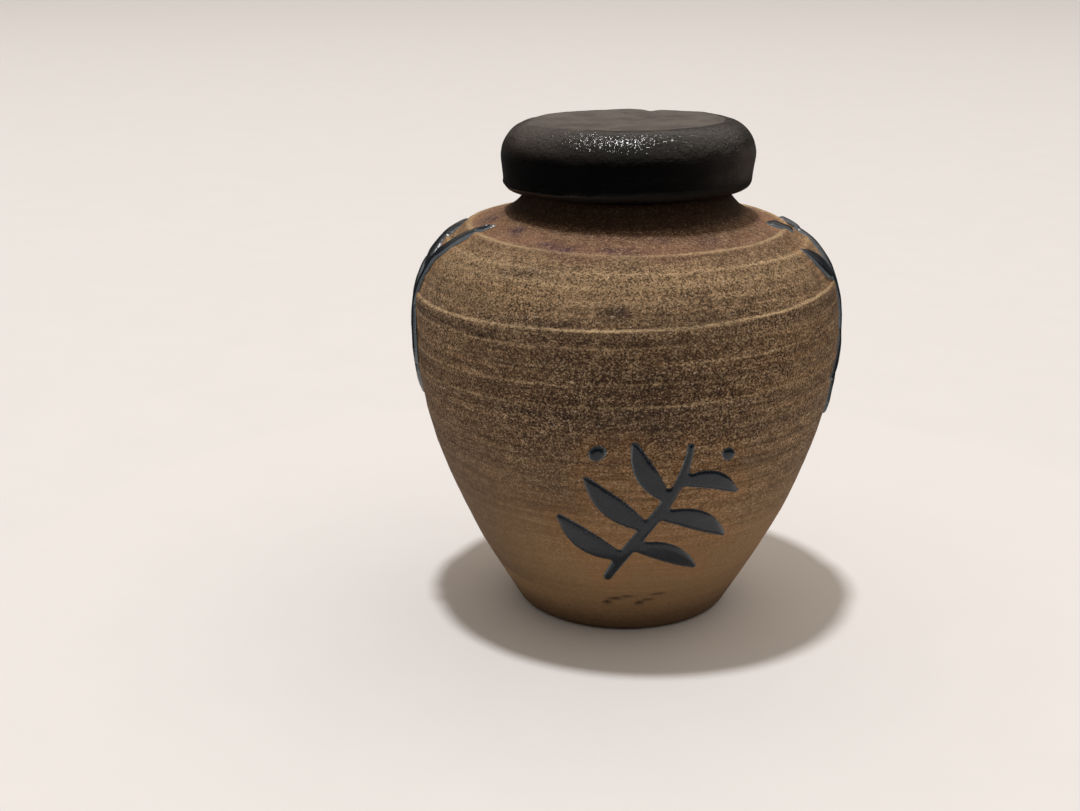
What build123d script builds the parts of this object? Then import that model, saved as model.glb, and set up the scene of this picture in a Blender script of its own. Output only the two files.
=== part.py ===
from build123d import *

import os
from math import cos, radians, sin

# A small stoneware sake bottle: a thrown jar with raised sprigs of slip, and a glazed cap with its cork.
# Millimetres. +Z is up, the flat foot stands on Z = 0, the jar's axis is Z, and the main sprig faces -Y.

# Driving dimensions
TOTAL_HEIGHT = 80.0
BELLY_RADIUS = 34.3
BELLY_HEIGHT = 47.6
FOOT_RADIUS = 17.7
WALL = 3.2
FLOOR = 4.4
RIM_HEIGHT = 69.4  # the top of the neck, which the cap rests on
NECK_RADIUS = 16.3
MOUTH_RADIUS = 11.2
CAP_RADIUS = 20.2
SLIP_THICKNESS = 0.55
SLIP_BITE = 0.1  # how deep the slip is fused into the clay

# Details of the jar
FOOT_EDGE = 0.9
RIM_EDGE = 0.6

# Details of the cap and of its cork
CAP_TAPER = 0.6  # the cap is this much narrower at its lower edge
CAP_LOWER_EDGE = 1.5
CAP_SHOULDER_WIDTH = 5.2
CAP_SHOULDER_HEIGHT = 5.6
SOCKET_DEPTH = 4.6
SOCKET_CLEARANCE = 0.15
ADHESIVE_THICKNESS = 0.4
CORK_CLEARANCE = 0.08
CORK_TIP_RADIUS = 10.3
CORK_TIP_HEIGHT = 57.6
CORK_EDGE = 0.7

# Outside of the jar from above the foot edge to below the rim edge, as (radius, height)
OUTSIDE = [
    (FOOT_RADIUS, FOOT_EDGE),
    (23.5, 11.1),
    (29.2, 23.4),
    (33.2, 36.6),
    (BELLY_RADIUS, BELLY_HEIGHT),
    (32.8, 56.0),
    (28.3, 61.8),
    (22.6, 64.3),
    (18.2, 66.4),
    (NECK_RADIUS, RIM_HEIGHT - RIM_EDGE),
]

# Inside of the jar from the corner of its floor to the bottom of its mouth, as (radius, height)
INSIDE = [
    (15.0, FLOOR),
    (20.4, 12.4),
    (26.0, 24.4),
    (30.0, 37.2),
    (BELLY_RADIUS - WALL, BELLY_HEIGHT),
    (29.6, 54.2),
    (25.2, 58.6),
    (18.4, 60.8),
    (MOUTH_RADIUS, 62.4),
]

# Slip-trailed strokes, as (across, height, half width), seen square on from outside the jar
FRONT_STROKES = [
    [(-5.0, 12.4, 0.8), (-2.6, 17.6, 1.1), (1.0, 23.6, 1.1), (4.2, 29.6, 0.95), (6.0, 36.6, 0.7)],
    [(-3.0, 16.6, 0.8), (-8.0, 19.0, 2.0), (-12.8, 23.6, 0.6)],
    [(0.2, 22.4, 0.8), (-4.6, 25.8, 2.0), (-9.2, 31.0, 0.6)],
    [(3.2, 27.6, 0.8), (-0.2, 31.8, 1.8), (-2.4, 37.2, 0.6)],
    [(-1.8, 18.8, 0.8), (3.4, 17.4, 1.9), (8.4, 13.8, 0.6)],
    [(1.8, 24.8, 0.8), (7.2, 23.6, 2.0), (12.6, 19.6, 0.6)],
    [(4.6, 30.6, 0.8), (9.4, 30.6, 1.8), (13.8, 27.8, 0.6)],
    [(-8.0, 35.4, 1.2), (-7.6, 35.8, 1.2)],
    [(11.8, 34.8, 1.1), (12.1, 34.5, 1.1)],
]
RIGHT_STROKES = [
    [(-6.2, 57.2, 0.9), (-4.8, 52.0, 1.0), (-2.8, 46.0, 0.9), (0.4, 40.6, 0.8), (4.6, 36.4, 0.6)],
    [(-6.4, 56.8, 0.9), (-8.8, 58.8, 1.9), (-11.2, 61.2, 0.6)],
    [(-5.2, 54.2, 0.8), (-1.6, 58.2, 1.9), (0.6, 62.2, 0.6)],
    [(-4.0, 49.6, 0.8), (1.4, 51.8, 1.9), (6.2, 55.8, 0.6)],
    [(-1.8, 44.2, 0.8), (3.8, 45.2, 1.9), (8.8, 48.8, 0.6)],
    [(1.8, 39.4, 0.8), (6.2, 40.0, 1.5), (10.0, 42.6, 0.5)],
    [(-3.2, 46.8, 0.8), (-7.0, 43.8, 1.4), (-11.0, 41.0, 0.6)],
    [(-0.4, 41.6, 0.8), (-3.8, 38.0, 1.5), (-5.8, 33.8, 0.5)],
    [(-5.0, 63.8, 0.6), (-3.0, 63.9, 0.6)],
    [(6.8, 62.2, 1.0), (7.2, 61.9, 1.0)],
]
LEFT_STROKES = [
    [(8.8, 60.4, 0.9), (7.8, 55.0, 1.0), (5.2, 49.0, 0.9), (1.6, 43.6, 0.8), (-2.6, 39.2, 0.6)],
    [(8.7, 59.4, 0.9), (9.9, 61.6, 1.3), (9.0, 64.0, 0.6)],
    [(8.4, 57.4, 0.8), (3.6, 60.0, 1.7), (-1.2, 63.0, 0.5)],
    [(7.0, 52.6, 0.8), (1.4, 54.0, 2.0), (-4.2, 57.6, 0.6)],
    [(4.4, 47.4, 0.8), (-1.4, 47.8, 1.9), (-7.0, 50.8, 0.6)],
    [(0.8, 42.6, 0.8), (-4.4, 42.6, 1.6), (-9.0, 45.4, 0.5)],
    [(6.2, 51.0, 0.8), (8.2, 46.4, 1.4), (8.2, 41.8, 0.5)],
    [(2.4, 44.6, 0.8), (3.6, 39.8, 1.5), (2.4, 35.2, 0.5)],
    [(-9.4, 56.6, 1.1), (-9.8, 56.3, 1.1)],
]
MOTIFS = {
    "front_slip_sprig": (7.0, FRONT_STROKES),
    "right_slip_sprig": (92.0, RIGHT_STROKES),
    "left_slip_sprig": (-92.0, LEFT_STROKES),
}
SKIN_SPANS = 16


def motif_plane(azimuth):
    """A plane on the jar's axis that faces outwards. Azimuth 0 faces -Y, and +90 faces +X."""
    a = radians(azimuth)
    return Plane(origin=(0, 0, 0), x_dir=(cos(a), sin(a), 0), z_dir=(sin(a), -cos(a), 0))


def outside_at(distance):
    """Points along the outside of the jar, at a distance square out from its surface."""
    side = Edge.make_spline([Vector(r, z) for r, z in OUTSIDE])
    places = [i / SKIN_SPANS for i in range(SKIN_SPANS + 1)]
    return [side @ t + (side % t).rotate(Axis.Z, -90) * distance for t in places]


def stroke_face(stroke):
    """One trailed stroke: both of its edges are smooth curves, and both of its ends are round."""
    centres = [Vector(x, z) for x, z, _ in stroke]
    before = [centres[0], *centres[:-1]]
    after = [*centres[1:], centres[-1]]
    along = [(b - a).normalized() for a, b in zip(before, after)]
    aside = [t.rotate(Axis.Z, 90) * width for t, (_, _, width) in zip(along, stroke)]
    left = [c + n for c, n in zip(centres, aside)]
    right = [c - n for c, n in zip(centres, aside)]
    tail = centres[0] - along[0] * stroke[0][2]
    tip = centres[-1] + along[-1] * stroke[-1][2]
    with BuildSketch() as face:
        with BuildLine():
            Spline(*left)
            ThreePointArc(left[-1], tip, right[-1])
            Spline(*reversed(right))
            ThreePointArc(right[0], tail, left[0])
        make_face()
    return face.sketch


os.makedirs("parts", exist_ok=True)

# Jar: a thrown wall on a flat floor, closed in to a short neck
with BuildPart() as jar_body:
    with BuildSketch(Plane.XZ):
        with BuildLine():
            side = Spline(*OUTSIDE)
            Polyline(side @ 1, (NECK_RADIUS - RIM_EDGE, RIM_HEIGHT), (0, RIM_HEIGHT), (0, 0))
            Polyline((0, 0), (FOOT_RADIUS - FOOT_EDGE, 0), side @ 0)
        make_face()
        with BuildLine():
            hollow = Spline(*INSIDE)
            Polyline(hollow @ 1, (MOUTH_RADIUS, RIM_HEIGHT), (0, RIM_HEIGHT), (0, FLOOR), hollow @ 0)
        make_face(mode=Mode.SUBTRACT)
    revolve(axis=Axis.Z)
    rim_edges = jar_body.edges().filter_by(GeomType.CIRCLE).group_by(Axis.Z)[-1]
    fillet(rim_edges.sort_by(SortBy.RADIUS)[0], RIM_EDGE)
jar_body.part.label = "jar_body"
export_step(jar_body.part, "parts/jar_body.step")

# Skin of slip all over the outside of the jar, which the sprigs are cut from
with BuildPart() as slip_skin:
    with BuildSketch(Plane.XZ):
        with BuildLine():
            under = Spline(*outside_at(-SLIP_BITE))
            over = Spline(*outside_at(SLIP_THICKNESS))
            Line(under @ 0, over @ 0)
            Line(under @ 1, over @ 1)
        make_face()
    revolve(axis=Axis.Z)

# Sprigs of raised slip on the front and on both sides
for motif, (azimuth, strokes) in MOTIFS.items():
    with BuildPart() as sprig:
        with BuildSketch(motif_plane(azimuth)):
            for stroke in strokes:
                add(stroke_face(stroke))
        extrude(amount=BELLY_RADIUS + 2 * SLIP_THICKNESS)
        add(slip_skin.part, mode=Mode.INTERSECT)
    sprig.part.label = motif
    export_step(sprig.part, f"parts/{motif}.step")

# Cap: a thick disc with a round shoulder, and a socket for the cork in its underside
cork_radius = MOUTH_RADIUS - CORK_CLEARANCE
with BuildPart() as cap:
    with BuildSketch(Plane.XZ):
        with BuildLine():
            shoulder = EllipticalCenterArc(
                (CAP_RADIUS - CAP_SHOULDER_WIDTH, TOTAL_HEIGHT - CAP_SHOULDER_HEIGHT),
                CAP_SHOULDER_WIDTH,
                CAP_SHOULDER_HEIGHT,
            )
            Polyline(shoulder @ 0, (CAP_RADIUS - CAP_TAPER, RIM_HEIGHT), (0, RIM_HEIGHT))
            Polyline((0, RIM_HEIGHT), (0, TOTAL_HEIGHT), shoulder @ 1)
        make_face()
    revolve(axis=Axis.Z)
    fillet(cap.edges().filter_by(GeomType.CIRCLE).group_by(Axis.Z)[0], CAP_LOWER_EDGE)
    with BuildSketch(Plane.XY.offset(RIM_HEIGHT)):
        Circle(cork_radius + SOCKET_CLEARANCE)
    extrude(amount=SOCKET_DEPTH, mode=Mode.SUBTRACT)
cap.part.label = "cap"
export_step(cap.part, "parts/cap.step")

# Adhesive between the cork and the roof of the socket
cork_top = RIM_HEIGHT + SOCKET_DEPTH - ADHESIVE_THICKNESS
with BuildPart() as cap_adhesive:
    with BuildSketch(Plane.XY.offset(cork_top)):
        Circle(cork_radius)
    extrude(amount=ADHESIVE_THICKNESS)
cap_adhesive.part.label = "cap_adhesive"
export_step(cap_adhesive.part, "parts/cap_adhesive.step")

# Cork: straight in the socket, and tapered in the mouth
with BuildPart() as cork_stopper:
    with BuildSketch(Plane.XZ):
        with BuildLine():
            Polyline(
                (0, CORK_TIP_HEIGHT),
                (CORK_TIP_RADIUS, CORK_TIP_HEIGHT),
                (cork_radius, RIM_HEIGHT),
                (cork_radius, cork_top),
                (0, cork_top),
                close=True,
            )
        make_face()
    revolve(axis=Axis.Z)
    chamfer(cork_stopper.edges().filter_by(GeomType.CIRCLE).group_by(Axis.Z)[0], CORK_EDGE)
cork_stopper.part.label = "cork_stopper"
export_step(cork_stopper.part, "parts/cork_stopper.step")
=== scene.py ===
"""The looks of a small stoneware sake bottle.

Sandy thrown clay, sprigs of trailed glaze, a black-glazed cap and its cork. Metres, in the CAD frame.
The turned pieces take their sections from the CAD nodes, and the sprigs their outlines.
"""

from math import cos, pi, radians, sin

import bmesh
import bpy
import numpy as np
from mathutils.bvhtree import BVHTree
from mathutils.kdtree import KDTree
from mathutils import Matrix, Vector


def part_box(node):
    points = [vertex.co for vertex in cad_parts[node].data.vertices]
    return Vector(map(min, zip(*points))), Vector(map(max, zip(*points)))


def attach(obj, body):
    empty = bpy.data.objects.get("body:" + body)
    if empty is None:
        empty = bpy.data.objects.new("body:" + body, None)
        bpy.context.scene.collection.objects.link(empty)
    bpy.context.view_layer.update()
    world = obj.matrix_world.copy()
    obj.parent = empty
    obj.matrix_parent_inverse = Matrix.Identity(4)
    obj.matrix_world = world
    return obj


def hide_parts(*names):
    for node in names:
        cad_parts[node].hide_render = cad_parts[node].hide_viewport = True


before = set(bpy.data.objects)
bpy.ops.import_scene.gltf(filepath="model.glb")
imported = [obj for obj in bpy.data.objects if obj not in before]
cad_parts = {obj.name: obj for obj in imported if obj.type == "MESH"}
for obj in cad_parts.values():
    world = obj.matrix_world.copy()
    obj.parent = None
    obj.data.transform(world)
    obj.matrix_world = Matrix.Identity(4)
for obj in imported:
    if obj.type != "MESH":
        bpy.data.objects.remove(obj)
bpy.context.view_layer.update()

MM = 0.001
LATTICE = 32  # cells along each side of the lattice that noise repeats
SPRIGS = ("front_slip_sprig", "right_slip_sprig", "left_slip_sprig")

# Camera, as the bottle was seen
CAMERA_DISTANCE = 264 * MM
CAMERA_HEIGHT = 116.1 * MM
CAMERA_DOWN = 17.55  # degrees below level
CAMERA_LEFT = 3.02  # degrees turned to the left of the jar's axis
CAMERA_LENS = 55.5  # millimetres, on a frame 36 mm wide
CAMERA_NEAREST = 0.01

# Light, in metres and watts
LAMP_HEIGHT = 3.0
LAMP_LEFT = 0.22
LAMP_NEAR = 0.08
LAMP_SIZE = 0.24
LAMP_POWER = 56.5
LAMP_COLOR = (1.0, 0.99, 0.98)
ROOM_COLOR = (1.0, 0.88, 0.76)
# Brightness of the room, as a product of steps in the direction looked at:
# (axis, from, to, brightness at from and before, brightness at to and after)
ROOM_STEPS = [
    ("Z", 0.20, 0.75, 0.03, 0.90),
    ("Z", 0.80, 0.98, 1.00, 0.38),
    ("Y", -0.70, 0.70, 0.60, 1.35),
    ("X", -0.70, 0.70, 0.70, 1.30),
]

# Stage, in metres
FLOOR_COLOR = (0.765, 0.755, 0.755)
FLOOR_HALF = 4.0
FLOOR_BELOW = 0.05 * MM  # keeps the floor clear of the foot
STAGE_STEPS = 96  # corners of the round sheets
FLAG_INNER = 0.11
FLAG_HEIGHT = 1 * MM
STAGE_RADIUS = 4.0
BACKDROP_HEIGHT = 5.0
BACKDROP_GLOW = 0.78

# Mesh density. A section is first cut into fine steps, and then thinned to rows.
FINE_STEPS = 4000
JAR_SOFTENING = 40  # rounds that soften the corners of a section
CAP_SOFTENING = 30
JAR_COLUMNS = 240
JAR_ROWS = 402
CAP_COLUMNS = 440
CAP_ROWS = 210
CORK_COLUMNS = 128
CORK_ROWS = 90
MERGE = 1e-7  # points of a CAD mesh closer than this are one point

# Beads of slip
SLIP_VOXEL = 0.15 * MM
SLIP_SOFTENING = 16
SLIP_HEIGHT = 0.62  # millimetres at the crown of a bead
SLIP_ROUND = 1.0  # millimetres from its outline to its crown

# How the cap sits: rise per distance to the front and to the right
CAP_FRONT_UP = 0.027
CAP_RIGHT_UP = 0.014
TOP_SINK = 0.30  # millimetres that the middle of its top lies below the edge of its top
TOP_EDGE = 0.75  # radius where that starts, as a part of the cap's
# Azimuths of marks on the cap and their reach, in degrees
NICK = (166, 4)
ROLL = (-52, 36)
# Rougher, browner glaze on the left of the shoulder and on the right side; its paler colour there is also a
# painted reflection of the room.
LEFT_SATIN_AND_SHEEN = (-75, 40)
RIGHT_SATIN_AND_SHEEN = (84, 32)

# Thrown surface of the jar, in millimetres.
# A ring is (height, how far it stands out, its reach above, its reach below)
RING_TILT = 0.037  # rise of the rings per distance to the right
FINGER_PITCH = 5.2  # rise of the finger rings inside, per turn
STRING_PITCH = 1.15  # between two marks of the cutting string
RINGS = [
    (63.3, 0.36, 0.20, 0.40),
    (61.4, 0.26, 0.25, 1.10),
    (59.9, 0.10, 0.35, 0.80),
    (57.6, 0.07, 0.40, 0.90),
    (54.3, 0.50, 0.22, 1.60),
    (51.8, 0.10, 0.25, 0.90),
    (49.0, 0.09, 0.30, 0.80),
    (46.4, 0.12, 0.25, 0.90),
    (43.1, 0.22, 0.22, 1.00),
    (41.0, 0.08, 0.30, 0.70),
    (38.6, 0.10, 0.30, 0.90),
    (35.3, 0.08, 0.40, 0.90),
    (30.2, 0.05, 0.60, 1.20),
    (22.5, 0.03, 0.80, 1.50),
]
# Pits and gouges in the clay: (azimuth in degrees, height, half length, half height, depth)
PITS = [
    (-38.9, 51.6, 0.6, 0.5, 0.50),
    (-6.0, 6.4, 0.5, 0.40, 0.50),
    (-2.5, 7.3, 0.9, 0.30, 0.50),
    (2.5, 7.9, 1.0, 0.22, 0.45),
    (8.0, 6.3, 0.6, 0.38, 0.50),
    (11.5, 7.0, 0.8, 0.25, 0.45),
    (15.5, 8.2, 1.3, 0.22, 0.40),
    (128.0, 38.0, 0.9, 0.6, 0.30),
    (171.0, 22.0, 1.4, 0.6, 0.30),
    (-140.0, 12.0, 1.2, 0.7, 0.35),
]
# Stains in the clay: (azimuth in degrees, height, half angle in degrees, half height, strength)
PURPLE_STAINS = [
    (-51.1, 64.7, 4.0, 0.5, 0.85),
    (-81.3, 64.5, 6.0, 0.5, 0.80),
    (-31.0, 64.0, 5.0, 0.3, 0.70),
    (-22.0, 63.7, 7.0, 0.35, 0.70),
    (-4.0, 63.9, 9.0, 0.35, 0.45),
    (14.0, 65.0, 5.0, 0.35, 0.50),
    (34.0, 64.4, 6.0, 0.4, 0.40),
    (78.0, 64.8, 7.0, 0.5, 0.75),
    (118.0, 64.2, 9.0, 0.6, 0.60),
    (160.0, 63.8, 12.0, 0.6, 0.70),
    (-150.0, 64.6, 8.0, 0.5, 0.60),
    (-118.0, 63.9, 6.0, 0.5, 0.50),
]
DARK_STAINS = [
    (-2.5, 56.8, 3.4, 1.3, 0.80),
    (9.0, 57.6, 2.6, 0.9, 0.55),
    (-24.0, 61.4, 9.0, 0.7, 0.50),
    (-34.0, 60.9, 6.0, 0.7, 0.55),
    (-20.0, 54.9, 12.0, 0.8, 0.45),
    (20.0, 59.0, 6.0, 0.8, 0.30),
    (2.0, 40.6, 24.0, 2.2, 0.42),
    (142.0, 56.0, 5.0, 1.2, 0.60),
    (-160.0, 50.0, 6.0, 1.6, 0.50),
]

# Colours of the jar, some of them painted light and shade
FOOT_CLAY = (0.270, 0.162, 0.078)
BELLY_CLAY = (0.160, 0.092, 0.046)
UPPER_CLAY = (0.210, 0.132, 0.072)
BAND_CLAY = (0.285, 0.182, 0.096)
SHOULDER_CLAY = (0.245, 0.130, 0.077)
# Painted highlight: a pale band on the shoulder, from 59.4 to 61.6 mm, where the rings catch the lamp.
RING_BAND_PAINTED_HIGHLIGHT = (0.340, 0.225, 0.120)
# Painted shade: a dark line from 62.0 to 62.9 mm, under the top ring of the shoulder.
RING_LINE_PAINTED_SHADE = (0.150, 0.088, 0.048)
# Painted shade: the lowest 7 mm of the foot, darkest where it meets the floor.
FOOT_PAINTED_SHADE = (0.095, 0.056, 0.030)
# Painted shade: the front of the belly, from 33 to 53 mm, which gets less light from the room.
FRONT_PAINTED_SHADE = (0.060, 0.033, 0.016)
# Painted shade on the front right of the shoulder.
SHOULDER_SHADE = (0.130, 0.074, 0.040)
# Painted shade low on the front left of the body.
LOWER_SHADE = (0.080, 0.046, 0.028)
# Painted light: both flanks of the belly lighter and warmer, the right one more.
FLANK_PAINTED_LIGHT = (0.340, 0.195, 0.090)
CLOUD = (0.100, 0.058, 0.034)
# Painted shade under each ring, and a painted highlight on each ring's crest.
RING_PAINTED_SHADE = (0.095, 0.058, 0.034)
RING_PAINTED_HIGHLIGHT = (0.520, 0.370, 0.205)
PURPLE = (0.075, 0.034, 0.050)
SOOT = (0.060, 0.038, 0.028)
BESIDE_SLIP = (0.330, 0.160, 0.058)
# Painted shade in the pits and gouges, darker the deeper they are.
PIT_PAINTED_SHADE = (0.050, 0.030, 0.018)
# Painted shade: the neck, dark in the shadow of the cap.
NECK_PAINTED_SHADE = (0.026, 0.011, 0.004)
INSIDE_TINT = (0.78, 0.74, 0.72)


# ---------------------------------------------------------------- noise and shapes


def noise(points, size, seed):
    """Smooth noise from -1 to 1 at points, in features of a size, from a seeded lattice that wraps."""
    values = np.random.RandomState(seed).uniform(-1, 1, (LATTICE,) * 3)
    place = np.asarray(points) / size + 0.5 * LATTICE
    corner = np.floor(place).astype(int)
    part = place - corner
    part = part * part * (3 - 2 * part)
    total = np.zeros(place.shape[:-1])
    for step in np.ndindex(2, 2, 2):
        weight = np.prod(np.where(step, part, 1 - part), axis=-1)
        at = (corner + step) % LATTICE
        total += weight * values[at[..., 0], at[..., 1], at[..., 2]]
    return total


def smooth_step(value, low, high):
    """0 below low, 1 above high, and smooth between."""
    t = np.clip((value - low) / (high - low), 0, 1)
    return t * t * (3 - 2 * t)


def lobe(value, middle, reach):
    """1 at a middle, and less on both sides of it."""
    return np.exp(-(((value - middle) / reach) ** 2))


def band(height, low, high):
    """1 between two heights, with soft edges."""
    return smooth_step(height, low - 0.25, low + 0.25) * (1 - smooth_step(height, high - 0.15, high + 0.15))


def spot(azimuth, z, at, height, half_angle, half_height, strength):
    """A soft spot, as strong as asked at its middle."""
    return strength * np.exp(-(((azimuth - at) / half_angle) ** 2) - ((z - height) / half_height) ** 2)


def section(node):
    """The outline of a turned CAD node, as (radius, height), from its lower end on the axis to its other."""
    bm = bmesh.new()
    bm.from_mesh(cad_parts[node].data)
    bmesh.ops.remove_doubles(bm, verts=bm.verts, dist=MERGE)
    for normal in ((0, 1, 0), (1, 0, 0)):
        bmesh.ops.bisect_plane(
            bm,
            geom=[*bm.verts, *bm.edges, *bm.faces],
            plane_co=(0, 0, 0),
            plane_no=normal,
            clear_inner=True,
            clear_outer=normal[1] == 1,
        )
    bmesh.ops.remove_doubles(bm, verts=bm.verts, dist=MERGE)
    ends = [v for v in bm.verts if len(v.link_edges) == 1]
    here = min(ends, key=lambda v: v.co.z)
    outline, edge = [here.co.copy()], None
    while True:
        edge = next((e for e in here.link_edges if e is not edge), None)
        if edge is None:
            break
        here = edge.other_vert(here)
        outline.append(here.co.copy())
    bm.free()
    return np.array([(p.x, p.z) for p in outline])


def even_outline(outline, soften):
    """The outline with its points at an even, fine step, and its corners softened."""
    length = np.concatenate([[0], np.cumsum(np.hypot(*np.diff(outline, axis=0).T))])
    at = np.linspace(0, length[-1], FINE_STEPS)
    points = np.stack([np.interp(at, length, outline[:, k]) for k in (0, 1)], axis=-1)
    for _ in range(soften):
        points[1:-1] = (points[:-2] + 2 * points[1:-1] + points[2:]) / 4
    return points


def thinned(outline, weight, rows):
    """Some points of a fine outline, closer together where the weight is larger."""
    total = np.concatenate([[0], np.cumsum(weight[1:])])
    at = np.interp(np.linspace(0, total[-1], rows), total, np.arange(len(outline)))
    return np.stack([np.interp(at, np.arange(len(outline)), outline[:, k]) for k in (0, 1)], axis=-1)


def turned_grid(outline, columns):
    """Points and outward normals of a turned surface, as arrays of rows by columns by 3."""
    along = np.gradient(outline, axis=0)
    along /= np.linalg.norm(along, axis=1)[:, None]
    angle = np.linspace(-pi, pi, columns, endpoint=False)
    ring = np.stack([np.sin(angle), -np.cos(angle)], axis=-1)
    points = np.zeros((len(outline), columns, 3))
    normals = np.zeros_like(points)
    points[..., :2] = outline[:, None, :1] * ring
    points[..., 2] = outline[:, None, 1]
    normals[..., :2] = along[:, None, 1:] * ring
    normals[..., 2] = -along[:, None, 0]
    return points, normals, angle


def mesh_piece(name, points):
    """A closed mesh from a grid of rows by columns, whose first and last rows are on the axis."""
    rows, columns = points.shape[:2]
    body = points[1:-1].reshape(-1, 3)
    low, high = points[0].mean(axis=0), points[-1].mean(axis=0)
    vertices = np.vstack([low, body, high])
    last = len(vertices) - 1
    ring = np.arange(columns)
    following = (ring + 1) % columns
    start = 1 + np.arange(rows - 3)[:, None] * columns
    above = start + columns
    quads = np.stack([start + ring, start + following, above + following, above + ring], axis=-1)
    faces = quads.reshape(-1, 4).tolist()
    top = 1 + (rows - 3) * columns
    faces += [(0, 1 + b, 1 + a) for a, b in zip(ring, following)]
    faces += [(last, top + a, top + b) for a, b in zip(ring, following)]
    mesh = bpy.data.meshes.new(name)
    mesh.from_pydata(vertices.tolist(), [], faces)
    mesh.shade_smooth()
    piece = bpy.data.objects.new(name, mesh)
    bpy.context.scene.collection.objects.link(piece)
    return piece


def paint(piece, name, values):
    """Stores a colour or a number for each point of a piece."""
    values = np.asarray(values, dtype=np.float32)
    kind = "FLOAT" if values.ndim == 1 else "FLOAT_COLOR"
    layer = piece.data.attributes.new(name, kind, "POINT")
    if values.ndim == 1:
        layer.data.foreach_set("value", values)
    else:
        rgba = np.ones((len(values), 4), dtype=np.float32)
        rgba[:, :3] = values
        layer.data.foreach_set("color", rgba.ravel())


def grid_values(values):
    """One value for each point of mesh_piece, from a grid of rows by columns."""
    return np.concatenate([values[:1, 0], values[1:-1].reshape(-1, *values.shape[2:]), values[-1:, 0]])


def mixed(base, other, amount):
    """A colour field moved towards another colour by an amount at each point."""
    return base + (np.asarray(other) - base) * amount[..., None]


# ---------------------------------------------------------------- nodes


class Shader:
    """A node material with short ways to add nodes."""

    def __init__(self, name):
        self.material = bpy.data.materials.new(name)
        self.material.use_nodes = True
        self.tree = self.material.node_tree
        self.principled = self.tree.nodes["Principled BSDF"]
        self.place = self.add("ShaderNodeTexCoord").outputs["Object"]

    def add(self, kind, inputs=None, **settings):
        """A node with some inputs set or linked, and its own settings."""
        node = self.tree.nodes.new(kind)
        for key, value in settings.items():
            setattr(node, key, value)
        for key, value in (inputs or {}).items():
            self.feed(node.inputs[key], value)
        return node

    def feed(self, socket, value):
        """Links a socket if value is an output, or else sets it."""
        if isinstance(value, bpy.types.NodeSocket):
            self.tree.links.new(value, socket)
        elif socket.type == "RGBA" and len(value) == 3:
            socket.default_value = (*value, 1)
        else:
            socket.default_value = value

    def noise(self, scale, detail=2.0, roughness=0.5, squash=None, distortion=0.0):
        """Noise with a number of features in a metre, and squashed along Z if asked."""
        place = self.place
        if squash:
            place = self.add("ShaderNodeMapping", {"Vector": place, "Scale": (1, 1, squash)}).outputs[0]
        inputs = {"Vector": place, "Scale": scale, "Detail": detail}
        inputs.update({"Roughness": roughness, "Distortion": distortion})
        return self.add("ShaderNodeTexNoise", inputs).outputs["Fac"]

    def cells(self, scale, feature="F1", output="Distance"):
        """Voronoi cells with a number of them in a metre."""
        inputs = {"Vector": self.place, "Scale": scale}
        return self.add("ShaderNodeTexVoronoi", inputs, feature=feature).outputs[output]

    def spread(self, value, low, high, to_low=0.0, to_high=1.0):
        """value from low to high moved to a new range, and kept in it."""
        inputs = {"Value": value, "From Min": low, "From Max": high, "To Min": to_low, "To Max": to_high}
        return self.add("ShaderNodeMapRange", inputs).outputs[0]

    def math(self, operation, a, b):
        """One sum of two numbers."""
        return self.add("ShaderNodeMath", {0: a, 1: b}, operation=operation).outputs[0]

    def mix_number(self, amount, a, b):
        """Two numbers, mixed by an amount."""
        return self.add("ShaderNodeMix", {0: amount, 2: a, 3: b}).outputs[0]

    def mix(self, amount, a, b, blend="MIX"):
        """Two colours, mixed by an amount."""
        node = self.add("ShaderNodeMix", data_type="RGBA", blend_type=blend)
        self.feed(node.inputs[0], amount)
        self.feed(node.inputs[6], a)
        self.feed(node.inputs[7], b)
        return node.outputs[2]

    def stored(self, name, output="Color"):
        """What paint stored on the mesh."""
        return self.add("ShaderNodeAttribute", attribute_name=name).outputs[output]

    def bump(self, height, distance, strength=1.0, under=None):
        """A bump of a distance in metres, over another one if given."""
        inputs = {"Height": height, "Distance": distance, "Strength": strength}
        if under is not None:
            inputs["Normal"] = under
        return self.add("ShaderNodeBump", inputs).outputs[0]

    def surface(self, **inputs):
        """Sets the Principled shader's sockets, by names with _ for a space."""
        for key, value in inputs.items():
            self.feed(self.principled.inputs[key.replace("_", " ")], value)
        return self.material


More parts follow.
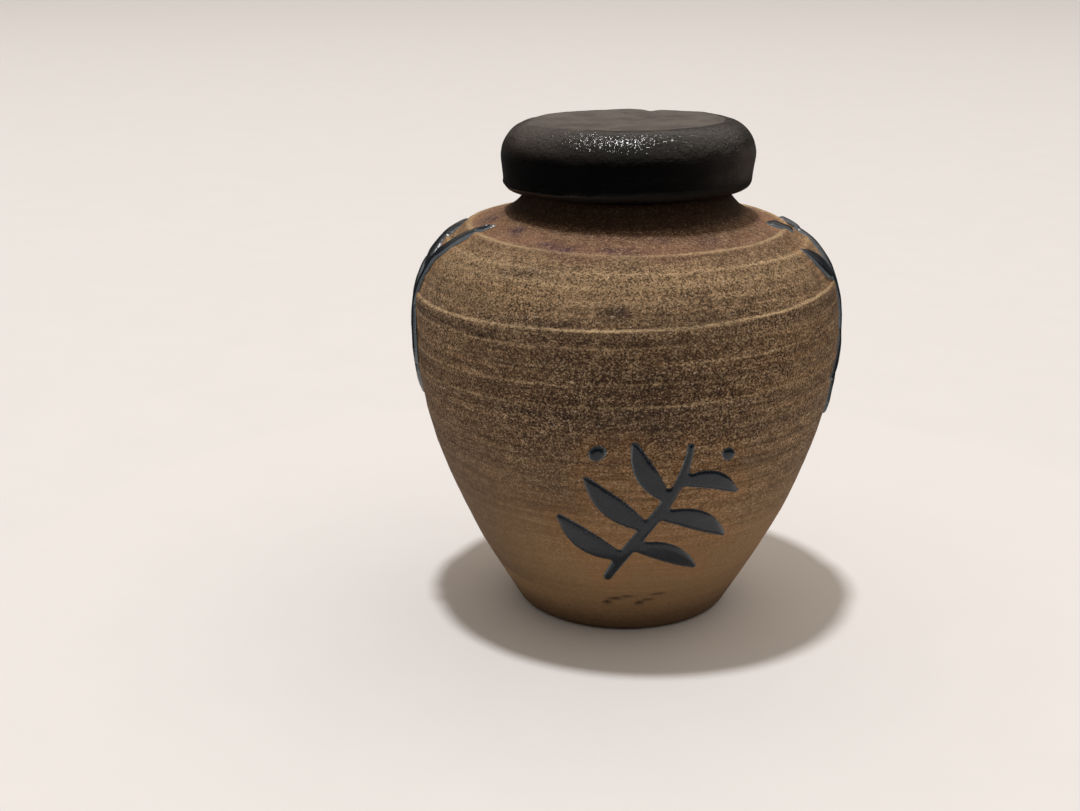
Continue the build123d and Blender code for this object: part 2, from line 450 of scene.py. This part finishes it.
def clay_material():
    """Sandy stoneware: the painted colour broken by sand grains and by fine turning lines."""
    s = Shader("sandy_stoneware")
    amount = s.stored("grain", "Fac")
    grains = s.add("ShaderNodeSeparateColor", {"Color": s.cells(4900, output="Color")}).outputs
    clusters = s.noise(520, detail=3.0, roughness=0.6)
    fine = s.noise(5200, detail=2.0, roughness=0.6)
    lines = s.noise(30, detail=7.0, roughness=0.80, squash=44)
    pitted = s.math("ADD", grains[0], s.math("MULTIPLY", s.math("SUBTRACT", clusters, 0.5), 0.7))
    dark = s.math("MULTIPLY", s.spread(pitted, 0.46, 0.10), s.math("MULTIPLY", amount, 0.95))
    light = s.math("MULTIPLY", s.spread(pitted, 0.60, 1.0), s.math("MULTIPLY", amount, 0.62))
    quartz = s.math("MULTIPLY", s.spread(grains[1], 0.995, 0.999), s.math("MULTIPLY", amount, 0.6))
    color = s.mix(dark, s.stored("clay"), (0.020, 0.011, 0.007))
    color = s.mix(light, color, (0.66, 0.47, 0.28))
    color = s.mix(quartz, color, (0.85, 0.78, 0.66))
    streak = s.spread(lines, 0.37, 0.63, 0.56, 1.42)
    streaks = s.add("ShaderNodeCombineColor", {"Red": streak, "Green": streak, "Blue": streak}).outputs[0]
    color = s.mix(s.stored("turned", "Fac"), color, s.mix(1.0, color, streaks, "MULTIPLY"))
    turned = s.bump(lines, 0.22 * MM, s.stored("turned", "Fac"))
    gritty = s.bump(pitted, 0.11 * MM, s.math("MULTIPLY", amount, 0.9), turned)
    skin = s.bump(fine, 0.05 * MM, 0.5, gritty)
    rough = s.spread(fine, 0.3, 0.7, 0.92, 0.74)
    return s.surface(Base_Color=color, Roughness=rough, Normal=skin, Specular_IOR_Level=0.25)


def glaze_material():
    """Black glaze on the cap: orange peel on its side, and a rougher, browner skin where the mask says so.
    On the left of the shoulder and on the right side that paler skin is also a painted reflection of the
    room.
    """
    s = Shader("black_glaze")
    peel = s.noise(1900, detail=2.0, roughness=0.5, distortion=0.8)
    fine = s.noise(5200, detail=2.0)
    patches = s.noise(230, detail=4.0, roughness=0.6)
    satin = s.stored("satin", "Fac")
    # The rougher, browner skin: real on top and underneath, and a painted reflection of the room on the left
    # of the shoulder and the right side.
    matte = s.mix(s.spread(patches, 0.38, 0.62), (0.066, 0.052, 0.050), (0.100, 0.086, 0.074))
    color = s.mix(satin, (0.0012, 0.0012, 0.0015), matte)
    gloss = s.mix_number(s.stored("dull", "Fac"), s.spread(patches, 0.4, 0.7, 0.10, 0.16), 0.6)
    rough = s.mix_number(satin, gloss, s.spread(patches, 0.3, 0.7, 0.38, 0.55))
    peeled = s.bump(peel, 0.20 * MM, s.stored("peel", "Fac"))
    skin = s.bump(fine, 0.02 * MM, 0.5, peeled)
    return s.surface(Base_Color=color, Roughness=rough, Normal=skin, IOR=1.46)


def slip_material():
    """The trailed glaze of the sprigs: dark slate and glossy, and paler along its outline, where the glaze
    is thinner and where a painted reflection of the floor lies along the lower and side edges.
    """
    s = Shader("trailed_glaze")
    ripple = s.noise(700, detail=2.0)
    dust = s.noise(3600, detail=3.0)
    thin = s.stored("thin", "Fac")
    color = s.mix(s.spread(dust, 0.45, 0.75), (0.005, 0.009, 0.015), (0.014, 0.021, 0.030))
    # Pale outline: thinner glaze, and a painted reflection of the floor.
    color = s.mix(thin, color, (0.145, 0.175, 0.200))
    rough = s.spread(dust, 0.35, 0.7, 0.16, 0.28)
    skin = s.bump(ripple, 0.05 * MM, 0.4)
    return s.surface(Base_Color=color, Roughness=rough, Normal=skin, IOR=1.42)


def cork_material():
    """Pressed cork: pale and dark granules with gaps between them."""
    s = Shader("pressed_cork")
    tint = s.add("ShaderNodeSeparateColor", {"Color": s.cells(620, output="Color")}).outputs[0]
    gap = s.spread(s.cells(620, feature="DISTANCE_TO_EDGE"), 0.0, 0.09)
    wood = s.noise(1700, detail=4.0, roughness=0.65)
    color = s.mix(tint, (0.30, 0.165, 0.075), (0.62, 0.41, 0.22))
    color = s.mix(s.spread(wood, 0.42, 0.7, 0.0, 0.6), color, (0.17, 0.08, 0.035))
    color = s.mix(gap, (0.085, 0.038, 0.016), color)
    rough = s.spread(wood, 0.3, 0.7, 0.75, 0.9)
    skin = s.bump(wood, 0.12 * MM, 0.5, s.bump(gap, 0.20 * MM, 0.6))
    return s.surface(Base_Color=color, Roughness=rough, Normal=skin)


def adhesive_material():
    """Amber adhesive with a few trapped bubbles."""
    s = Shader("amber_adhesive")
    bubbles = s.spread(s.cells(1400), 0.15, 0.3)
    clouds = s.noise(500, detail=3.0)
    amber = s.mix(clouds, (0.36, 0.22, 0.08), (0.46, 0.31, 0.13))
    color = s.mix(bubbles, (0.50, 0.42, 0.26), amber)
    rough = s.spread(clouds, 0.3, 0.7, 0.18, 0.34)
    return s.surface(Base_Color=color, Roughness=rough, Normal=s.bump(bubbles, 0.05 * MM))


def floor_material():
    """A plain pale table top."""
    s = Shader("pale_floor")
    mottle = s.noise(60, detail=3.0)
    color = s.mix(s.spread(mottle, 0.3, 0.7), FLOOR_COLOR, tuple(0.985 * c for c in FLOOR_COLOR))
    return s.surface(Base_Color=color, Roughness=0.75, Specular_IOR_Level=0.2)


# ---------------------------------------------------------------- the jar


def ring_height(x, z):
    """Height along the rings, which rise to the right on the body and lie level on the shoulder."""
    return z - RING_TILT * x * (1 - smooth_step(z, 57, 61))


def rings(points, height):
    """Each ring left by the potter: how far it stands out, the height above its crest, and its reach."""
    for number, (ring, out, above, below) in enumerate(RINGS):
        strength = 0.8 + 0.5 * noise(points / MM, 14, 100 + number)
        away = height - ring - 0.16 * noise(points / MM, 12, 140 + number)
        yield out * strength, away, above, below


def rings_relief(points, height):
    """The rings, in millimetres outwards."""
    relief = np.zeros(height.shape)
    for out, away, above, below in rings(points, height):
        relief += out * lobe(away, 0, np.where(away > 0, above, below))
    return relief


def pits_depth(angle, height, radius):
    """Pits and gouges, in millimetres into the clay."""
    depths = np.zeros(height.shape)
    for azimuth, at, half_length, half_height, depth in PITS:
        across = (angle - radians(azimuth)) * radius
        depths += depth * np.exp(-((across / half_length) ** 2) - ((height - at) / half_height) ** 2)
    return depths


def turning_lines(points, height):
    """Fine lines round the jar, from -1 to 1."""
    along = np.stack([points[..., 0] * 30, points[..., 1] * 30, height], axis=-1)
    return 0.6 * noise(along, 0.5, 1) + 0.4 * noise(along, 1.2, 2)


def outside_relief(points, angle):
    """The whole relief of the jar's outside, in millimetres outwards."""
    x, z = points[..., 0] / MM, points[..., 2] / MM
    height = ring_height(x, z)
    right = 0.5 + 0.5 * np.sin(angle)[None, :]
    lined = smooth_step(z, 18, 36) * (1 - (0.75 - 0.6 * right) * smooth_step(z, 60, 63))
    relief = 0.050 * turning_lines(points, height) * (0.25 + 0.75 * lined)
    relief += 0.10 * noise(points / MM, 9, 3) + 0.030 * noise(points / MM, 2.6, 4)
    relief += rings_relief(points, height) * smooth_step(z, 10, 24)
    relief -= pits_depth(angle[None, :] + 0 * z, z, np.hypot(x, points[..., 1] / MM))
    out_of_round = smooth_step(z, 4, 30) * (1 - smooth_step(z, 58, 68))
    relief += 0.12 * np.sin(2 * angle + 0.7)[None, :] * out_of_round
    relief += 0.14 * smooth_step(z, 4, 12) * (1 - smooth_step(z, 30, 40))
    return relief


def inside_relief(points):
    """Finger rings on the inside, in millimetres out of the clay."""
    z = points[..., 2] / MM
    spiral = z + FINGER_PITCH * np.arctan2(points[..., 0], -points[..., 1]) / (2 * pi)
    return 0.20 * np.sin(2 * pi * spiral / FINGER_PITCH) + 0.05 * noise(points / MM, 2.2, 8)


def underside_relief(points):
    """Curved marks of the cutting string under the foot, in millimetres upwards."""
    x, y = points[..., 0] / MM, points[..., 1] / MM
    reach = np.hypot(x - 9, y + 26)
    return 0.10 * (1 + np.sin(2 * pi * reach / STRING_PITCH + 0.8 * noise(points / MM, 5, 9)))


def clay_zones(height, level, cloud):
    """The zones of the clay: orange brown at the foot, dark round the belly, then tan, and then pink. On
    them go a painted highlight band and a painted shade line under the upper rings, and painted shade at the
    foot's lower edge.
    """
    color = np.zeros((*level.shape, 3)) + FOOT_CLAY
    color = mixed(color, BELLY_CLAY, smooth_step(level + 3 * cloud, 14, 42))
    color = mixed(color, UPPER_CLAY, smooth_step(level, 50, 56))
    color = mixed(color, BAND_CLAY, smooth_step(level, 55, 60))
    color = mixed(color, SHOULDER_CLAY, smooth_step(level, 62.5, 63.4))
    # Painted highlight band on the shoulder rings.
    color = mixed(color, RING_BAND_PAINTED_HIGHLIGHT, 0.6 * band(height, 59.4, 61.6))
    # Painted shade line under the top ring.
    color = mixed(color, RING_LINE_PAINTED_SHADE, 0.45 * band(height, 62.0, 62.9))
    # Painted shade along the foot's lower edge.
    return mixed(color, FOOT_PAINTED_SHADE, 0.8 * smooth_step(level, 7.0, 0.5))


def painted_light_and_clouds(color, azimuth, level, cloud):
    """Adds painted light and shade on some sides, and clouds: painted shade on the front of the belly, on
    the front right of the shoulder and low on the front left, painted warm light on both flanks, and dark
    clouds at random.
    """
    # Painted shade on the front of the belly.
    front_shade = lobe(azimuth, 2, 27) * smooth_step(level, 33, 38) * (1 - smooth_step(level, 48, 53))
    color = mixed(color, FRONT_PAINTED_SHADE, 0.72 * front_shade)
    # Painted shade on the front right of the shoulder.
    color = mixed(color, SHOULDER_SHADE, 0.46 * lobe(azimuth, 42, 24) * band(level, 61, 66))
    # Painted shade low on the front left.
    color = mixed(color, LOWER_SHADE, 0.50 * lobe(azimuth, -62, 30) * band(level, 8, 34))
    # Painted warm light on both flanks of the belly.
    flank = lobe(azimuth, 52, 26) + 0.5 * lobe(azimuth, -58, 24)
    color = mixed(color, FLANK_PAINTED_LIGHT, 0.34 * flank * band(level, 38, 53.5))
    return mixed(color, CLOUD, 0.50 * cloud * smooth_step(level, 10, 30))


def ring_painted_light(color, points, height):
    """Adds painted shade under each ring, and a painted highlight on its crest."""
    for out, away, above, below in rings(points, height):
        trough = lobe(away, -0.75 * below, 0.6 * below)
        crest = lobe(away, 0.4 * above, 0.8 * above)
        # Painted shade under the ring, and a painted highlight on its crest.
        color = mixed(color, RING_PAINTED_SHADE, np.clip(1.4 * out, 0, 0.60) * trough)
        color = mixed(color, RING_PAINTED_HIGHLIGHT, np.clip(2.6 * out, 0, 0.90) * crest)
    return color


def stain_tints(color, points, azimuth, z):
    """Adds the stains, with ragged edges."""
    ragged = 1.0 + 0.7 * noise(points / MM, 1.1, 23)
    for stains, tint in ((PURPLE_STAINS, PURPLE), (DARK_STAINS, SOOT)):
        for stain in stains:
            color = mixed(color, tint, np.clip(spot(azimuth, z, *stain) * ragged, 0, 1))
    return color


def clay_color(points, angle, near_slip):
    """Albedo of the jar, with painted light and shade in it."""
    x, z = points[..., 0] / MM, points[..., 2] / MM
    azimuth = np.degrees(angle)[None, :] + 0 * z
    height = ring_height(x, z)
    level = height + 0.5 * noise(points / MM, 7, 20)
    cloud = np.clip(noise(points / MM, 9, 21), 0, 1)
    color = clay_zones(height, level, cloud)
    color = painted_light_and_clouds(color, azimuth, level, cloud)
    color = ring_painted_light(color, points, height)
    color = stain_tints(color, points, azimuth, z)
    color = mixed(color, BESIDE_SLIP, 0.32 * near_slip)
    # Painted shade in the pits.
    pits = pits_depth(np.radians(azimuth), z, np.hypot(x, points[..., 1] / MM))
    color = mixed(color, PIT_PAINTED_SHADE, np.clip(2.6 * pits, 0, 0.9))
    # Painted shade on the neck, under the cap.
    return mixed(color, NECK_PAINTED_SHADE, 0.95 * smooth_step(z, 64.6, 66.4))


def slip_nearness(points):
    """1 beside a sprig, and 0 a few millimetres from it."""
    sprig_points = []
    for node in SPRIGS:
        sprig_points.extend(v.co.copy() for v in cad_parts[node].data.vertices)
    tree = KDTree(len(sprig_points))
    for index, point in enumerate(sprig_points):
        tree.insert(point, index)
    tree.balance()
    near = [tree.find(point)[2] for point in points.reshape(-1, 3).tolist()]
    return 1 - smooth_step(np.array(near).reshape(points.shape[:2]) / MM, 0.6, 3.4)


def rim_and_foot(outline):
    """The row of the jar's rim, and the last row of the flat of its foot."""
    rim = np.argmax(outline[:, 1])
    foot = np.nonzero(outline[:rim, 1] < 0.3 * MM)[0][-1]
    return rim, foot


def jar_outline():
    """The jar's section in rows, closest together at the pits near the foot and from the belly up."""
    fine = even_outline(section("jar_body"), JAR_SOFTENING)
    place = np.arange(FINE_STEPS)
    rim, foot = rim_and_foot(fine)
    gouged = (place < rim) & (np.abs(fine[:, 1] - 7.2 * MM) < 2 * MM)
    upper = (place < rim) & (fine[:, 1] > 38 * MM)
    weight = np.select([place < foot, gouged, upper, place < rim], [0.7, 3.0, 4.0, 1.0], 0.45)
    return thinned(fine, weight, JAR_ROWS)


def sand(points):
    """How much the grains show, and how much the turning lines show, from 0 to 1."""
    z = points[..., 2] / MM
    patches = 0.5 + 0.5 * noise(points / MM, 8, 30)
    grain = (0.14 + 0.86 * smooth_step(z + 6 * patches, 14, 48)) * (0.7 + 0.3 * patches)
    # Fewer grains on the upper shoulder, and far fewer on the neck so that its painted shade stays dark.
    grain *= (1 - 0.3 * smooth_step(z, 61.5, 63.5)) * (1 - 0.8 * smooth_step(z, 65.2, 66.8))
    turned = (0.20 + 0.80 * smooth_step(z, 12, 36)) * (1 - 0.6 * smooth_step(z, 55, 62))
    return grain, turned


def make_jar():
    """The thrown jar: outside, rim, inside, floor and underside in one closed mesh."""
    outline = jar_outline()
    points, normals, angle = turned_grid(outline, JAR_COLUMNS)
    rim, foot = rim_and_foot(outline)
    row = np.arange(JAR_ROWS)[:, None]
    outside = (row > foot) & (row <= rim)
    inside = row > rim
    under = (row <= foot) & (outline[:, 0] < 16 * MM)[:, None]
    relief = np.where(outside, outside_relief(points, angle), 0.0)
    relief = np.where(inside & (points[..., 2] < 61 * MM), inside_relief(points), relief)
    relief = np.where(under, -underside_relief(points), relief)
    moved = points + normals * relief[..., None] * MM
    moved[..., 2] = np.maximum(moved[..., 2], 0)
    piece = mesh_piece("jar_body_thrown", moved)
    color = clay_color(points, angle, slip_nearness(points) * outside)
    color = np.where(inside[..., None], color * INSIDE_TINT, color)
    grain, turned = sand(points)
    paint(piece, "clay", grid_values(color))
    paint(piece, "grain", grid_values(grain))
    paint(piece, "turned", grid_values(turned))
    return piece


# ---------------------------------------------------------------- the other pieces


def cap_roll(points, azimuth, z):
    """Where the glaze gathered in a roll at the cap's lower edge, from 0 to 1."""
    wave = 0.12 + 0.02 * noise(points / MM, 3.0, 45)
    return lobe(z, wave, 0.030) * lobe(azimuth, *ROLL)


def cap_relief(points, azimuth, z, radius):
    """The relief of the glaze, in millimetres outwards: waves, a roll, a nick and orange peel."""
    relief = 0.12 * noise(points / MM, 6, 40) + 0.045 * noise(points / MM, 1.9, 41)
    relief += 0.45 * cap_roll(points, azimuth, z) * (0.7 + 0.5 * noise(points / MM, 2.4, 42))
    nick = lobe(azimuth, *NICK) * lobe(z, 0.9, 0.12)
    relief -= 0.6 * nick * smooth_step(radius, 0.56, 0.84)
    peel = smooth_step(z, 0.45, 0.7) * smooth_step(radius, 0.70, 0.78)
    return relief + 0.014 * peel * (noise(points / MM, 0.8, 46) + 0.6 * noise(points / MM, 0.55, 47))


def cap_satin_and_sheen(points, azimuth, z, radius, top):
    """Where the glaze is rougher and browner: on top, on the left of the shoulder and on the right side. On
    the left of the shoulder and the right side its paler colour is also a painted reflection of the room.
    """
    edge = 0.745 + 0.02 * noise(points / MM, 5, 44)
    to_left = lobe(azimuth, *LEFT_SATIN_AND_SHEEN)
    to_right = lobe(azimuth, *RIGHT_SATIN_AND_SHEEN)
    satin = smooth_step(edge - radius, -0.01 - 0.20 * to_left, 0.02) * top
    # The left of the shoulder: rougher glaze, and paler as a painted reflection of the room.
    satin = np.maximum(satin, 0.62 * to_left * smooth_step(z, 0.5, 0.9))
    # The right side: rougher glaze, and paler as a painted reflection of a pale wall to the right.
    side = smooth_step(z, 0.05, 0.3) * (1 - 0.8 * smooth_step(z, 0.55, 0.75))
    return np.maximum(satin, 0.95 * to_right * side)


def make_cap():
    """The glazed cap: a rounded disc that sits a little tilted, with smoother relief and a rougher, browner
    skin underneath.
    """
    fine = even_outline(section("cap"), CAP_SOFTENING)
    low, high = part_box("cap")
    shoulder = (fine[:, 1] > 0.5 * (low.z + high.z)) & (fine[:, 0] > 0.6 * high.x)
    outline = thinned(fine, np.where(shoulder, 4.0, 0.7), CAP_ROWS)
    points, normals, angle = turned_grid(outline, CAP_COLUMNS)
    z = (points[..., 2] - low.z) / (high.z - low.z)
    radius = np.hypot(points[..., 0], points[..., 1]) / high.x
    azimuth = np.degrees(angle)[None, :] + 0 * z
    glazed = (radius > 0.82) | (z > 0.6)
    underneath = 0.03 * noise(points / MM, 1.2, 43)
    relief = np.where(glazed, cap_relief(points, azimuth, z, radius), underneath)
    moved = points + normals * relief[..., None] * MM
    top = smooth_step(z, 0.93, 1.0)
    moved[..., 2] -= TOP_SINK * MM * top * smooth_step(TOP_EDGE - radius, 0, 0.08)
    moved[..., 2] += CAP_FRONT_UP * -moved[..., 1] + CAP_RIGHT_UP * moved[..., 0]
    moved[..., 2] = np.maximum(moved[..., 2], low.z)
    piece = mesh_piece("cap_glazed", moved)
    satin = np.maximum(cap_satin_and_sheen(points, azimuth, z, radius, top), ~glazed)
    dull = smooth_step(z, 0.22, 0.10) * (1 - np.clip(1.5 * cap_roll(points, azimuth, z), 0, 1))
    # Mask of the rougher, browner skin, which on the left of the shoulder and the right side is also a
    # painted reflection.
    paint(piece, "satin", grid_values(satin))
    paint(piece, "dull", grid_values(dull))
    paint(piece, "peel", grid_values(0.25 + 0.75 * smooth_step(z, 0.55, 0.85)))
    return piece


def make_cork():
    """The cork, with its granules standing out a little."""
    fine = even_outline(section("cork_stopper"), CAP_SOFTENING)
    outline = thinned(fine, np.ones(FINE_STEPS), CORK_ROWS)
    points, normals, _ = turned_grid(outline, CORK_COLUMNS)
    relief = -0.10 * np.abs(noise(points / MM, 1.3, 50)) - 0.05 * np.abs(noise(points / MM, 0.6, 51))
    return mesh_piece("cork_granules", points + normals * relief[..., None] * MM)


def voxel_copy(node):
    """The mesh of a CAD node in small even facets, with its corners rounded off."""
    piece = bpy.data.objects.new(node + "_trailed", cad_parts[node].data.copy())
    bpy.context.scene.collection.objects.link(piece)
    remesh = piece.modifiers.new("remesh", "REMESH")
    remesh.mode = "VOXEL"
    remesh.voxel_size = SLIP_VOXEL
    smooth = piece.modifiers.new("smooth", "SMOOTH")
    smooth.factor = 0.5
    smooth.iterations = SLIP_SOFTENING
    shape = piece.evaluated_get(bpy.context.evaluated_depsgraph_get())
    mesh = bpy.data.meshes.new_from_object(shape)
    piece.modifiers.clear()
    piece.data = mesh
    mesh.shade_smooth()
    return piece


def from_outline(feet, side):
    """How far each point is inside a sprig's outline, and how steeply the nearest outline lies above it."""
    outline = KDTree(int(side.sum()))
    for index, foot in enumerate(feet[side].tolist()):
        outline.insert(foot, index)
    outline.balance()
    found = [outline.find(foot) for foot in feet.tolist()]
    inside = np.array([hit[2] for hit in found])
    upper = (np.array([hit[0].z for hit in found]) - feet[:, 2]) / np.maximum(inside, 0.01)
    return inside, upper


def make_slip(node, jar_tree):
    """One sprig as a round bead, with its outline from CAD. It is highest well inside that outline."""
    piece = voxel_copy(node)
    vertices = piece.data.vertices
    nearest = [jar_tree.find_nearest(v.co) for v in vertices]
    feet = np.array([hit[0] for hit in nearest]) / MM
    outwards = np.array([hit[1] for hit in nearest])
    points = np.array([v.co for v in vertices]) / MM
    normals = np.array([v.normal for v in vertices])
    height = ((points - feet) * outwards).sum(axis=-1)
    side = np.abs((normals * outwards).sum(axis=-1)) < 0.6
    inside, upper = from_outline(feet, side)
    dome = np.sqrt(1 - (1 - np.clip(inside / SLIP_ROUND, 0, 1)) ** 2)
    crown = SLIP_HEIGHT * dome * (1 + 0.12 * noise(points, 2.2, 60))
    lifted = np.where(height > 0.05, crown * np.clip(height / 0.4, 0, 1), height)
    moved = (feet + outwards * lifted[:, None]) * MM
    vertices.foreach_set("co", moved.ravel())
    piece.data.update()
    # Painted reflection of the floor along the lower and side edges, as a pale line that also stands for
    # thinner glaze; the upper edges are left dark.
    thin = smooth_step(0.30 - inside, 0.0, 0.12) * (1 - 0.8 * smooth_step(upper, 0.0, 0.6))
    paint(piece, "thin", thin)
    return piece


# ---------------------------------------------------------------- stage, light and camera


def make_floor():
    """A plain pale floor under the object."""
    half = FLOOR_HALF
    corners = [(-half, -half, 0), (half, -half, 0), (half, half, 0), (-half, half, 0)]
    mesh = bpy.data.meshes.new("floor")
    mesh.from_pydata(corners, [], [(0, 1, 2, 3)])
    mesh.materials.append(floor_material())
    floor = bpy.data.objects.new("floor", mesh)
    floor.location.z = -FLOOR_BELOW
    bpy.context.scene.collection.objects.link(floor)


def round_sheet(name, circles, rise, material, unseen_by):
    """A sheet between two circles (radius, height), raised a little, that some kinds of ray don't see."""
    turns = [2 * pi * step / STAGE_STEPS for step in range(STAGE_STEPS)]
    vertices = [(radius * cos(turn), radius * sin(turn), z) for radius, z in circles for turn in turns]
    edges = [(step, (step + 1) % STAGE_STEPS) for step in range(STAGE_STEPS)]
    mesh = bpy.data.meshes.new(name)
    mesh.from_pydata(vertices, [], [(a, b, STAGE_STEPS + b, STAGE_STEPS + a) for a, b in edges])
    mesh.materials.append(material)
    sheet = bpy.data.objects.new(name, mesh)
    sheet.location.z = rise
    for ray in (*unseen_by, "diffuse", "transmission", "volume_scatter", "shadow"):
        setattr(sheet, "visible_" + ray, False)
    bpy.context.scene.collection.objects.link(sheet)


def make_flag():
    """A black sheet round the object, seen only by reflections, so that the glazes mirror a dark room."""
    s = Shader("black_cloth")
    weave = s.noise(300, detail=2.0)
    cloth = s.surface(Base_Color=s.mix(weave, (0.004,) * 3, (0.008,) * 3), Roughness=1.0)
    round_sheet("dark_flag", [(FLAG_INNER, 0), (STAGE_RADIUS, 0)], FLAG_HEIGHT, cloth, ["camera"])


def make_backdrop():
    """A pale wall far round the table, for level views. Only the camera sees it."""
    s = Shader("pale_wall")
    plaster = s.mix(s.noise(3, detail=2.0), (0.96, 0.93, 0.90), (1.0, 0.97, 0.94))
    wall = s.surface(Base_Color=(0, 0, 0), Emission_Color=plaster, Emission_Strength=BACKDROP_GLOW)
    circles = [(STAGE_RADIUS, -BACKDROP_HEIGHT), (STAGE_RADIUS, BACKDROP_HEIGHT)]
    round_sheet("backdrop", circles, 0, wall, ["glossy"])


def make_world():
    """A dim warm room: dark near the floor, dimmer overhead, and brighter to the right and at the back."""
    world = bpy.data.worlds.new("studio")
    bpy.context.scene.world = world
    world.use_nodes = True
    tree = world.node_tree
    place = tree.nodes.new("ShaderNodeTexCoord")
    split = tree.nodes.new("ShaderNodeSeparateXYZ")
    tree.links.new(place.outputs["Generated"], split.inputs[0])
    strength = None
    for axis, *ends in ROOM_STEPS:
        step = tree.nodes.new("ShaderNodeMapRange")
        tree.links.new(split.outputs[axis], step.inputs["Value"])
        for key, value in zip(("From Min", "From Max", "To Min", "To Max"), ends):
            step.inputs[key].default_value = value
        product = tree.nodes.new("ShaderNodeMath")
        product.operation = "MULTIPLY"
        product.inputs[0].default_value = 1.0
        if strength:
            tree.links.new(strength, product.inputs[0])
        tree.links.new(step.outputs[0], product.inputs[1])
        strength = product.outputs[0]
    background = tree.nodes["Background"]
    background.inputs["Color"].default_value = (*ROOM_COLOR, 1)
    tree.links.new(strength, background.inputs["Strength"])


def make_lamp():
    """One small soft lamp, almost straight above."""
    light = bpy.data.lights.new("ceiling_lamp", "AREA")
    light.shape = "DISK"
    light.size = LAMP_SIZE
    light.energy = LAMP_POWER
    light.color = LAMP_COLOR
    lamp = bpy.data.objects.new("ceiling_lamp", light)
    lamp.location = (-LAMP_LEFT, -LAMP_NEAR, LAMP_HEIGHT)
    lamp.rotation_euler = (-lamp.location).to_track_quat("-Z", "Y").to_euler()
    bpy.context.scene.collection.objects.link(lamp)


def make_camera():
    """The camera, looking down and turned a little to the left."""
    data = bpy.data.cameras.new("camera")
    data.lens = CAMERA_LENS
    data.clip_start = CAMERA_NEAREST
    camera = bpy.data.objects.new("camera", data)
    camera.location = (0, -CAMERA_DISTANCE, CAMERA_HEIGHT)
    camera.rotation_euler = (radians(90 - CAMERA_DOWN), 0, radians(CAMERA_LEFT))
    bpy.context.scene.collection.objects.link(camera)
    bpy.context.scene.camera = camera


def dress(piece, node, body, material):
    """Gives a piece its material and body, and hides the CAD node that it stands for."""
    piece.data.materials.clear()
    piece.data.materials.append(material)
    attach(piece, body)
    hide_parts(node)


make_camera()
make_world()
make_lamp()
make_floor()
make_flag()
make_backdrop()

dress(make_jar(), "jar_body", "jar", clay_material())
slip = slip_material()
jar_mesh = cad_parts["jar_body"].data
jar_tree = BVHTree.FromPolygons([v.co for v in jar_mesh.vertices], [f.vertices for f in jar_mesh.polygons])
for node in SPRIGS:
    dress(make_slip(node, jar_tree), node, "jar", slip)
dress(make_cap(), "cap", "lid", glaze_material())
dress(make_cork(), "cork_stopper", "lid", cork_material())
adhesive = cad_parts["cap_adhesive"]
adhesive.data.materials.clear()
adhesive.data.materials.append(adhesive_material())

bpy.context.scene.view_settings.view_transform = "Standard"
